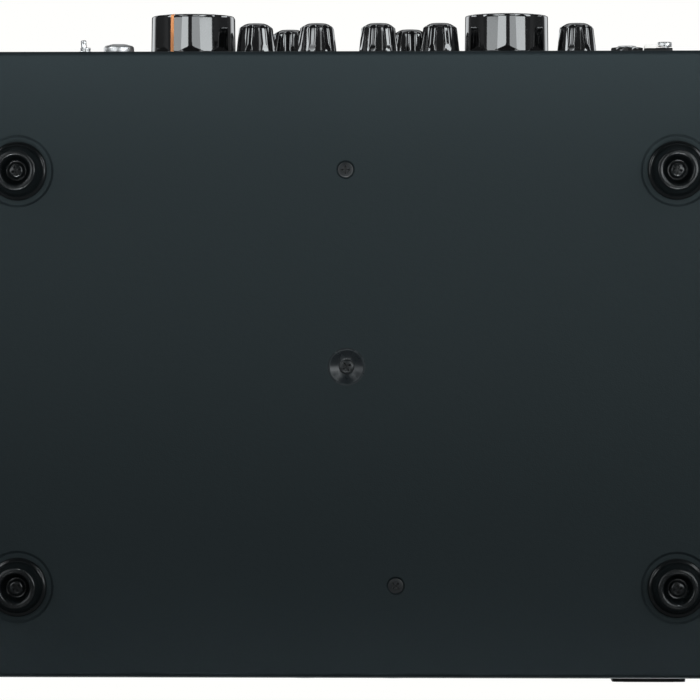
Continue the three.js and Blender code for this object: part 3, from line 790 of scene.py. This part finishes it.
JACK_BODY = ((-7.8, -8.0, -27.0), (7.8, 8.0, -1.9))
RING_NUT_PROFILE = [
    (JACK_NUT_BORE, 0.3),
    (7.3, 0.3),
    (7.5, 0.6),
    (7.5, 3.3),
    (7.3, 3.9),
    (6.7, 4.5),
    (5.6, 4.8),
    (JACK_NUT_BORE, 4.7),
    (JACK_NUT_BORE, 0.3),
]

place = at_front("mic_jack")
bm = bmesh.new()
add_socket(bm, place, 5.2)
add_lathe(bm, RING_NUT_PROFILE, place)
mic_jack = new_object("mic_jack_nut", bm, CHROME, "console", smooth=35)
bm = bmesh.new()
add_box(bm, *JACK_BODY, place)
new_object("mic_jack_body", bm, SATIN, "console", smooth=30)
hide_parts("mic_jack")

place = at_front("phones_jack")
bm = bmesh.new()
add_socket(bm, place, 3.9)
new_object("phones_jack_sleeve", bm, CHROME, "console", smooth=35)
bm = bmesh.new()
add_nut(bm, place, 6, JACK_NUT_BORE, 7.7, 0.3, 3.0, chamfer=0.3)
add_box(bm, *JACK_BODY, place)
phones_nut = new_object("phones_jack_nut", bm, GLOSS, "console", smooth=35)
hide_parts("phones_jack")

TOGGLE_NUT_BORE = 2.65
TOGGLE_BUSHING_PROFILE = [
    (1.7, 3.7),
    (2.3, 3.7),
    (2.6, 3.4),
    (2.6, 2.9),
    (2.4, 2.7),
    (2.6, 2.5),
    (2.4, 2.3),
    (2.6, 2.1),
    (2.6, -2.5),
    (2.1, -5.5),
    (1.7, 2.0),
    (1.7, 3.7),
]
place = at_front("mic_toggle_switch")
bm = bmesh.new()
add_nut(bm, place, 6, TOGGLE_NUT_BORE, 3.9, -1.8, -0.3, chamfer=0.25)
add_nut(bm, place, 6, TOGGLE_NUT_BORE, 3.75, 0.3, 1.7, chamfer=0.3)
add_lathe(bm, TOGGLE_BUSHING_PROFILE, place, 48)
toggle = new_object("mic_toggle_bushing", bm, CHROME, "console", smooth=35)
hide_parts("mic_toggle_switch")
bm = bmesh.new()
add_box(bm, (-4, -6.5, -13), (4, 6.5, -1.9), place)
new_object("mic_toggle_body", bm, SATIN, "console", smooth=30)

TOGGLE_PIVOT = 4.5  # behind the panel's face
TOGGLE_TILT = -5.0  # degrees, at rest
spot = middle("mic_toggle_switch")
pivot = Matrix.Translation((spot.x, FRONT_Y + TOGGLE_PIVOT * MM, spot.z))
lean = Matrix.Rotation(math.radians(TOGGLE_TILT), 4, "Z") @ Matrix.Rotation(math.radians(90), 4, "X")
LEVER_PROFILE = [
    (0.0, -2.5),
    (0.8, -2.5),
    (1.1, -2.2),
    (1.2, 4.5),
    (1.35, 8.2),
    (1.42, 8.9),
    (1.44, 11.2),
    (1.3, 11.65),
    (1.0, 11.86),
    (0.5, 11.95),
    (0.0, 11.95),
]
bm = bmesh.new()
add_lathe(bm, LEVER_PROFILE, pivot @ lean, 40)
lever = new_object("mic_toggle_bat", bm, BRIGHT, "mic_toggle", smooth=60)
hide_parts("mic_toggle_lever")

MONO_CAP_X = 3.2
MONO_LAMP_X = -3.8
place = at_front("mono_switch")
bm = bmesh.new()
add_plate(bm, place, 6.95, 5.0, 1.4, 0.3, 2.8)
add_box(bm, (-5.3, -3.3, -16), (5.3, 3.3, 0.3), place)
mono_bezel = new_object("mono_switch_bezel", bm, SATIN, "console", smooth=35)
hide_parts("mono_switch")
bm = bmesh.new()
add_plate(bm, place, 3.1, 4.9, 1.0, 2.6, 4.4, edge=0.5, shift=(MONO_LAMP_X, 0))
new_object("mono_switch_lamp", bm, MILKY, "console", smooth=35)
MONO_PROFILE = [
    (0.0, -9.0),
    (2.1, -9.0),
    (2.1, 3.7),
    (3.4, 3.7),
    (3.65, 3.95),
    (3.65, 5.2),
    (3.5, 5.6),
    (3.1, 5.85),
    (2.6, 5.9),
    (1.4, 5.7),
    (0.0, 5.62),
]
mono_axis = place @ Matrix.Translation((MONO_CAP_X * MM, 0, 0))
bm = bmesh.new()
add_lathe(bm, MONO_PROFILE, mono_axis, 48)
mono_cap = new_object("mono_button_cap", bm, CHROME, "mono", smooth=40)
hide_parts("mono_button")

CUE_PROFILE = [
    (0.0, -9.0),
    (1.7, -9.0),
    (1.7, -3.0),
    (3.7, -3.5),
    (4.0, -3.2),
    (4.0, 3.7),
    (3.85, 4.2),
    (3.5, 4.5),
    (2.9, 4.5),
    (1.5, 4.15),
    (0.0, 4.05),
]
CUE_RING = [
    (4.35, -0.4),
    (5.5, 0.0),
    (5.9, 0.05),
    (5.8, 0.4),
    (5.2, 0.75),
    (4.7, 0.7),
    (4.35, 0.3),
    (4.35, -0.4),
]
for side in ("left", "right"):
    place = at_front(f"cue_button_{side}")
    bm = bmesh.new()
    add_lathe(bm, CUE_PROFILE, place, 48)
    cap = new_object(f"cue_cap_{side}", bm, SATIN, f"cue_{side}", smooth=40)
    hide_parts(f"cue_button_{side}")
    bm = bmesh.new()
    add_lathe(bm, CUE_RING, place, 64)
    new_object(f"cue_bezel_{side}", bm, CHROME, "console", smooth=40)

# The level meter's window: a frame, and two columns of bars on its smoked face.
LED_GREEN = surface("meter_green", (0.02, 0.25, 0.05), (0.03, 0.32, 0.07), (0.2, 0.3), cloud=400,
                    emission=((0.08, 1.0, 0.2), 0.5))
LED_AMBER = surface("meter_amber", (0.4, 0.2, 0.01), (0.5, 0.26, 0.02), (0.2, 0.3), cloud=400,
                    emission=((1.0, 0.45, 0.03), 0.4))
LED_DARK = surface("meter_unlit", (0.03, 0.012, 0.01), (0.045, 0.018, 0.014), (0.2, 0.3), cloud=400)
place = at_front("level_meter")
bm = bmesh.new()
rings = []
for grow, height in ((0.1, -0.6), (0.1, 0.5), (0.45, 0.75), (1.2, 0.75), (1.6, 0.45), (1.6, 0.0)):
    rings.append(rounded(7.8 + grow, 15.8 + grow, 0.6 + grow, height))
rings.append(rings[0])
add_rings(bm, rings, place, cap_low=False, cap_high=False)
new_object("meter_frame", bm, SATIN, "console", smooth=35)
METER_BARS = 12
METER_PEAK_BARS = 2
METER_FOOT = -14.3  # lowest bar's lower edge, from the meter's middle
METER_PITCH = 2.42
METER_BAR_HEIGHT = 1.5
METER_COLUMN_X = 3.4
peak_start = METER_BARS - METER_PEAK_BARS
for column, lit in (("left", 7), ("right", 6)):
    x = -METER_COLUMN_X if column == "left" else METER_COLUMN_X
    for material, label, first, last in (
        (LED_GREEN, "lit", 0, lit),
        (LED_DARK, "unlit", lit, peak_start),
        (LED_AMBER, "peak", peak_start, METER_BARS),
    ):
        bm = bmesh.new()
        for i in range(first, last):
            up = METER_FOOT + i * METER_PITCH + METER_BAR_HEIGHT / 2
            bar = place @ Matrix.Translation((x * MM, up * MM, 0))
            add_plate(bm, bar, 2.4, METER_BAR_HEIGHT / 2, 0.3, 0.45, 0.56, edge=0.05)
        new_object(f"meter_{column}_{label}", bm, material, "console", smooth=35)

# Printed dials: a tick for each number, and the numbers round the two big knobs.
DIAL_SWEEP = 300.0
DIAL_STEPS = 10
PRINT_HEIGHT = 0.05
PRINT_SINK = -0.02


def dial_turn(step):
    return math.radians(DIAL_SWEEP * (0.5 - step / DIAL_STEPS))


def dial(name, node, inner, outer, width):
    """Ticks from radius `inner` to `outer`: the ends' and the middle one in full, the rest shorter."""
    place = at_front(node)
    bm = bmesh.new()
    for i in range(DIAL_STEPS + 1):
        end = outer if i % (DIAL_STEPS // 2) == 0 else (inner + 2 * outer) / 3
        turned = place @ Matrix.Rotation(dial_turn(i), 4, "Z")
        add_box(bm, (-width / 2, inner, PRINT_SINK), (width / 2, end, PRINT_HEIGHT), turned)
    new_object(name, bm, PRINT, "console", smooth=30)


def numbers(name, node, radius, size):
    """The numbers 0 to 10 on a circle round a knob, upright."""
    place = at_front(node)
    for i in range(DIAL_STEPS + 1):
        curve = bpy.data.curves.new(f"{name}_{i}", "FONT")
        curve.body = str(i)
        curve.size = size * MM
        curve.align_x = "CENTER"
        curve.align_y = "CENTER"
        curve.extrude = 0.02 * MM
        digit = bpy.data.objects.new(f"{name}_{i}", curve)
        bpy.context.scene.collection.objects.link(digit)
        curve.materials.append(PRINT)
        turn = dial_turn(i)
        spot = Vector((-radius * math.sin(turn), radius * math.cos(turn), PRINT_HEIGHT)) * MM
        digit.matrix_world = place @ Matrix.Translation(spot)
        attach(digit, "console")


for side in ("left", "right"):
    dial(f"volume_dial_{side}", f"volume_knob_{side}", 22.3, 24.0, 0.45)
    numbers(f"volume_number_{side}", f"volume_knob_{side}", 26.4, 3.4)
for label, side in small_knobs:
    dial(f"{label}_dial_{side}", f"{label}_knob_{side}", 10.9, 12.3, 0.35)

# ---- Rear panel: sockets, outputs and mains inlet ------------------------------------------------

for label in ("1_left", "1_right", "2_left", "2_right"):
    place = at_back(f"input_jack_{label}")
    bm = bmesh.new()
    nut_place = place @ Matrix.Rotation(math.radians(30), 4, "Z")
    add_nut(bm, nut_place, 6, JACK_NUT_BORE, 6.3, 0.3, 2.6, chamfer=0.4)
    add_box(bm, *JACK_BODY, place)
    nut = new_object(f"input_nut_{label}", bm, SATIN, "console", smooth=35)
    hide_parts(f"input_jack_{label}")
    bm = bmesh.new()
    add_socket(bm, place, 3.4)
    new_object(f"input_sleeve_{label}", bm, CHROME, "console", smooth=35)

SUNK_SCREW = [(2.4, 0.12), (2.7, 0.06), (2.8, -0.1), (1.4, -1.2), (1.4, -6.0), (0.3, -6.0)]


def add_small_screw(bm, place):
    add_cross_head(bm, SUNK_SCREW, place, sides=32, reach=1.5, slot=0.6, depth=0.9)


XLR_PIN = [(0.0, -17.0), (1.2, -17.0), (1.2, -4.0), (1.05, -3.4), (0.6, -3.05), (0.0, -3.0)]
XLR_SHELL = [
    (9.4, 1.0),
    (9.4, 1.9),
    (9.7, 2.5),
    (10.3, 2.75),
    (11.0, 2.5),
    (11.4, 1.9),
    (11.5, 1.0),
    (9.4, 1.0),
]
XLR_PIN_CIRCLE = 4.2
XLR_WELL_RADIUS = 9.4
XLR_WELL_DEPTH = 16.0
for side in ("left", "right"):
    node = f"xlr_output_{side}"
    place = at_back(node)
    bm = bmesh.new()
    flange = [
        rounded(13.0, 15.5, 3.0, 0.3),
        rounded(13.0, 15.5, 3.0, 1.6),
        rounded(12.8, 15.3, 2.9, 1.9),
        rounded(12.5, 15.0, 2.7, 2.0),
    ]
    well = []
    for height in (2.0, -XLR_WELL_DEPTH):
        well.append(round_like(flange[0], XLR_WELL_RADIUS, height))
    add_rings(bm, flange + well, place)
    add_lathe(bm, XLR_SHELL, place, 72)
    add_box(bm, (-1.1, -9.5, -15.9), (1.1, -8.3, 1.9), place)
    shell = new_object(f"xlr_shell_{side}", bm, SATIN, "console", smooth=35)
    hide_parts(node)
    bm = bmesh.new()
    for degrees in (90, 210, 330):
        angle = math.radians(degrees)
        offset = Vector((XLR_PIN_CIRCLE * math.cos(angle), -XLR_PIN_CIRCLE * math.sin(angle), 0)) * MM
        add_lathe(bm, XLR_PIN, place @ Matrix.Translation(offset), 24)
    new_object(f"xlr_pins_{side}", bm, BRASS, "console", smooth=40)
    bm = bmesh.new()
    for x, y in ((-9.6, 12.2), (9.6, -12.2)):
        spot = place @ Matrix.Translation(Vector((x, y, 2.0)) * MM)
        add_small_screw(bm, spot @ Matrix.Rotation(0.4 * x, 4, "Z"))
    new_object(f"xlr_screws_{side}", bm, BLACK_STEEL, "console", smooth=35)
    bm = bmesh.new()
    add_plate(bm, place @ Matrix.Translation((0, 12.8 * MM, 0)), 2.6, 1.7, 0.6, 1.9, 2.9, edge=0.3)
    new_object(f"xlr_latch_{side}", bm, ZINC, "console", smooth=35)

# Mains inlet: heights of its parts from the middle of its plate.
SOCKET_UP = -14.5
SCREW_ROW_UP = -3.9
FUSE_UP = 3.0
ROCKER_UP = 17.5
place = at_back("power_inlet")
bm = bmesh.new()
for x, up in ((-7, 1), (0, -3), (7, 1)):
    blade = place @ Matrix.Translation(Vector((x, SOCKET_UP + up, 0)) * MM)
    add_plate(bm, blade, 1.1, 2.1, 0.4, -16.0, -1.9, edge=0.4)
new_object("mains_contacts", bm, ZINC, "console", smooth=35)
bm = bmesh.new()
for x in (-15.3, 15.3):
    spot = place @ Matrix.Translation(Vector((x, SCREW_ROW_UP, 2.6)) * MM)
    add_small_screw(bm, spot @ Matrix.Rotation(0.3 * x, 4, "Z"))
new_object("inlet_screws", bm, BLACK_STEEL, "console", smooth=35)
bm = bmesh.new()
RIM_INNER_Y = 8.3
RIM_LOW = 2.4
for inner_x, up, high in ((12.1, SOCKET_UP, 3.1), (9.9, ROCKER_UP, 3.0)):
    rings = []
    for grow, height in (
        (0.0, RIM_LOW),
        (0.0, high - 0.2),
        (0.3, high),
        (0.9, high),
        (1.2, high - 0.3),
        (1.2, RIM_LOW),
    ):
        ring = rounded(inner_x + grow, RIM_INNER_Y + grow, 0.5 + grow, height)
        rings.append([(x, y + up, z) for x, y, z in ring])
    rings.append(rings[0])
    add_rings(bm, rings, place, cap_low=False, cap_high=False)
new_object("inlet_rims", bm, SATIN, "console", smooth=35)
bm = bmesh.new()
drawer_front = place @ Matrix.Translation((0, FUSE_UP * MM, 0))
add_plate(bm, drawer_front, 9.8, 3.0, 0.6, 2.6, 3.1, edge=0.25)
add_plate(bm, drawer_front, 3.0, 0.7, 0.4, 3.0, 3.4, edge=0.2, shift=(0, 1.5))
new_object("fuse_drawer_front", bm, SATIN, "fuse", smooth=35)

# The rocker's on and off marks: a bar on its upper half and a ring on its lower one.
# Each half rises from the middle by ROCKER_SLOPE, and at rest the rocker leans by the same angle.
ROCKER_SLOPE = math.radians(9.0)
PIVOT_BEHIND_FACE = 1.5
VALLEY = 2.6
spot = middle("power_rocker")
pivot_z = place.translation.z + ROCKER_UP * MM
pivot = Matrix.Translation((spot.x, REAR_Y - PIVOT_BEHIND_FACE * MM, pivot_z))
lean = Matrix.Rotation(-ROCKER_SLOPE, 4, "X")
face = pivot @ lean @ Matrix.Rotation(math.radians(-90), 4, "X") @ Matrix.Rotation(math.pi, 4, "Z")
for name, up in (("bar", 3.6), ("ring", -3.6)):
    rise = VALLEY + abs(up) * math.tan(ROCKER_SLOPE)
    tilt = Matrix.Rotation(math.copysign(ROCKER_SLOPE, up), 4, "X")
    here = face @ Matrix.Translation(Vector((0, up, rise)) * MM) @ tilt
    bm = bmesh.new()
    if name == "bar":
        add_box(bm, (-0.3, -1.8, -0.1), (0.3, 1.8, 0.05), here)
    else:
        add_lathe(bm, [(1.2, -0.1), (1.2, 0.05), (1.7, 0.05), (1.7, -0.1), (1.2, -0.1)], here, 40)
    new_object(f"rocker_{name}", bm, PRINT, "power", smooth=35)

# ---- Cover: screws in its sides, and the parts that show through the slots -----------------------

COVER_SCREW = [(2.9, 0.25), (3.3, 0.12), (3.45, -0.1), (1.6, -1.6), (1.6, -6.0), (0.3, -6.0)]
SCREW_UP = 7.5  # above the case's underside
for side, sign in (("left", -1), ("right", 1)):
    for label, y in (("front", -112.0), ("rear", 128.0)):
        turn = Matrix.Rotation(math.radians(90 * sign), 4, "Y") @ Matrix.Rotation(0.7 * y, 4, "Z")
        place = Matrix.Translation((sign * CASE_X, y * MM, PLATE_Z + SCREW_UP * MM)) @ turn
        bm = bmesh.new()
        add_cross_head(bm, COVER_SCREW, place, sides=36, reach=1.9, slot=0.75, depth=1.1)
        new_object(f"cover_screw_{side}_{label}", bm, BLACK_STEEL, "console", smooth=35)

CAPACITOR_PROFILE = [
    (0.0, 0.0),
    (4.9, 0.0),
    (5.0, 0.3),
    (5.0, 1.1),
    (4.75, 1.5),
    (5.0, 1.9),
    (5.0, 11.6),
    (4.7, 12.0),
    (4.0, 12.05),
    (3.9, 11.9),
    (0.0, 11.9),
]
CHIP_LEG_PITCH = 2.54
TRANSFORMER_REACH = 0.056  # from the bolt; components stay outside it


def add_chip(bm, place):
    """Eight-legged chip standing on its board."""
    add_box(bm, (-3.2, -4.9, 0.8), (3.2, 4.9, 4.0), place)
    for leg in range(4):
        y = -4.1 + leg * CHIP_LEG_PITCH
        for x in (-3.9, 3.5):
            add_box(bm, (x, y, -0.1), (x + 0.4, y + 0.5, 2.4), place)


board_low, board_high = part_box("mixer_board")
capacitors = bmesh.new()
chips = bmesh.new()
for row, along in enumerate((0.12, 0.3, 0.86)):
    for i in range(7):
        x = board_low.x + (board_high.x - board_low.x) * (i + 0.8) / 8.6
        y = board_low.y + (board_high.y - board_low.y) * along
        if math.hypot(x - bolt_spot.x, y - bolt_spot.y) <= TRANSFORMER_REACH:
            continue
        spot = Matrix.Translation((x, y, board_high.z))
        if (i + row) % 2:
            add_lathe(capacitors, CAPACITOR_PROFILE, spot, 32)
        else:
            add_chip(chips, spot)
new_object("board_capacitors", capacitors, SLEEVE, "console", smooth=40)
new_object("board_chips", chips, CERAMIC, "console", smooth=30)

# ---- Camera, floor and light -------------------------------------------------------------------

scene = bpy.context.scene
scene.view_settings.view_transform = "Standard"

VIEW_DISTANCE = 1.902  # from the underside to the camera
VIEW_WIDTH = 0.3415  # across the picture, at the underside
SENSOR_WIDTH = 36.0
AIM = Vector((0.0017, 0.0013, PLATE_Z))
YAW = math.radians(1.6)
camera = bpy.data.objects.new("camera", bpy.data.cameras.new("camera"))
scene.collection.objects.link(camera)
scene.camera = camera
camera.data.sensor_width = SENSOR_WIDTH
camera.data.lens = SENSOR_WIDTH * VIEW_DISTANCE / VIEW_WIDTH
camera.data.clip_start = 0.05
camera.data.clip_end = 60
away = Vector((math.sin(YAW), 0, -math.cos(YAW)))
camera.location = AIM + away * VIEW_DISTANCE
picture_up = Vector((0, -1, 0))
picture_right = picture_up.cross(away).normalized()
axes = Matrix((picture_right, picture_up, away)).transposed()
camera.rotation_euler = axes.to_euler()


LAMP_COLOUR = (0.93, 0.98, 1.0)
CASE_MIDDLE = (0, 0, 0.05)
KNOBS = (0, -0.19, 0.05)
FRONT_EDGE = (0, -0.1, 0)


def lamp(name, spot, aim, size, power, spread=180.0, mirrored=True):
    """Rectangular lamp at a spot, in watts. Glossy surfaces don't mirror one that isn't `mirrored`."""
    data = bpy.data.lights.new(name, "AREA")
    data.shape = "RECTANGLE"
    data.size, data.size_y = size
    data.energy = power
    data.color = LAMP_COLOUR
    data.spread = math.radians(spread)
    obj = bpy.data.objects.new(name, data)
    scene.collection.objects.link(obj)
    obj.location = spot
    obj.rotation_euler = (Vector(aim) - Vector(spot)).to_track_quat("-Z", "Y").to_euler()
    obj.visible_camera = False
    obj.visible_glossy = mirrored


# Below the table's height, for the underside, the feet and the knobs' sides.
lamp("low_left", (-0.852, -0.2, -1.182), KNOBS, (0.36, 1.02), 2.6)
lamp("low_right", (0.80, -0.2, -1.22), KNOBS, (0.36, 1.14), 5.2)
lamp("plate_wash", (0, 0.45, -1.3), (0, -0.45, 0), (1.6, 0.15), 2.0, spread=40)
lamp("front_strip", (0, 0.9, -1.3), (0, -0.215, 0.012), (1.6, 0.06), 0.7, spread=6)
lamp("rear_strip", (0, -0.9, -1.3), (0, 0.225, 0.012), (1.6, 0.06), 0.4, spread=6)
lamp("near_left", (-0.58, -0.74, -1.0), (0, -0.16, 0.05), (0.35, 0.8), 0.07, spread=26)
lamp("near_right", (0.58, -0.74, -1.0), (0, -0.16, 0.05), (0.35, 0.8), 0.09, spread=26)
lamp("side_left", (-0.75, -0.5, -0.32), FRONT_EDGE, (0.3, 0.2), 0.9)
lamp("side_right", (0.75, -0.5, -0.32), FRONT_EDGE, (0.3, 0.2), 0.9)
# Above it, for the panels and the cover.
lamp("front", (0, -3.0, 0.3), CASE_MIDDLE, (3.0, 1.2), 5)
lamp("key", (-1.6, -1.9, 2.4), CASE_MIDDLE, (2.6, 2.6), 60, mirrored=False)
lamp("fill", (2.2, -1.9, 1.6), CASE_MIDDLE, (2.4, 2.4), 30, mirrored=False)
lamp("back", (0.4, 2.4, 1.9), CASE_MIDDLE, (2.4, 2.0), 45)

# Pale floor. It is clear from below, casts no shadow and doesn't show in gloss.
FLOOR_REACH = 7.0
floor_mesh = bpy.data.meshes.new("floor")
corners = []
for x, y in ((-1, -1), (1, -1), (1, 1), (-1, 1)):
    corners.append((x * FLOOR_REACH, y * FLOOR_REACH, 0))
floor_mesh.from_pydata(corners, [], [(0, 1, 2, 3)])
floor = bpy.data.objects.new("floor", floor_mesh)
scene.collection.objects.link(floor)
floor_material = bpy.data.materials.new("floor")
floor_material.use_nodes = True
tree = floor_material.node_tree
pale = tree.nodes["Principled BSDF"]
pale.inputs["Base Color"].default_value = (0.78, 0.78, 0.77, 1)
pale.inputs["Roughness"].default_value = 0.8
clear = tree.nodes.new("ShaderNodeBsdfTransparent")
side = tree.nodes.new("ShaderNodeNewGeometry")
either = tree.nodes.new("ShaderNodeMixShader")
link(tree, side, "Backfacing", either, 0)
link(tree, pale, "BSDF", either, 1)
link(tree, clear, "BSDF", either, 2)
link(tree, either, "Shader", tree.nodes["Material Output"], "Surface")
floor_mesh.materials.append(floor_material)
floor.visible_shadow = False
floor.visible_diffuse = False
floor.visible_glossy = False
floor.visible_transmission = False

# Pale surroundings for the camera. As light they are a bright band about 35 to 60 degrees above the
# horizon, nearly dark above it, dim below it, and dimmer in front of the console than behind it.
world = bpy.data.worlds.new("studio")
scene.world = world
world.use_nodes = True
tree = world.node_tree
seen = tree.nodes["Background"]
seen.inputs["Color"].default_value = (1.0, 1.0, 0.985, 1)
lit = tree.nodes.new("ShaderNodeBackground")
lit.inputs["Color"].default_value = (0.95, 0.98, 1.0, 1)
direction = tree.nodes.new("ShaderNodeTexCoord")
parts = tree.nodes.new("ShaderNodeSeparateXYZ")
link(tree, direction, "Generated", parts, "Vector")
rise = ranged(tree, parts, "Z", 0.10, 1.6, 0.56, 0.64)
fall = ranged(tree, parts, "Z", 1.0, 0.03, 0.80, 0.86)
front = ranged(tree, parts, "Y", 0.3, 1.0, -0.45, -0.2)
overhead = tree.nodes.new("ShaderNodeMath")
overhead.operation = "MULTIPLY"
link(tree, rise, "Result", overhead, 0)
link(tree, fall, "Result", overhead, 1)
toned = tree.nodes.new("ShaderNodeMath")
toned.operation = "MULTIPLY"
link(tree, overhead, "Value", toned, 0)
link(tree, front, "Result", toned, 1)
link(tree, toned, "Value", lit, "Strength")
path = tree.nodes.new("ShaderNodeLightPath")
choice = tree.nodes.new("ShaderNodeMixShader")
link(tree, path, "Is Camera Ray", choice, 0)
link(tree, lit, "Background", choice, 1)
link(tree, seen, "Background", choice, 2)
link(tree, choice, "Shader", tree.nodes["World Output"], "Surface")
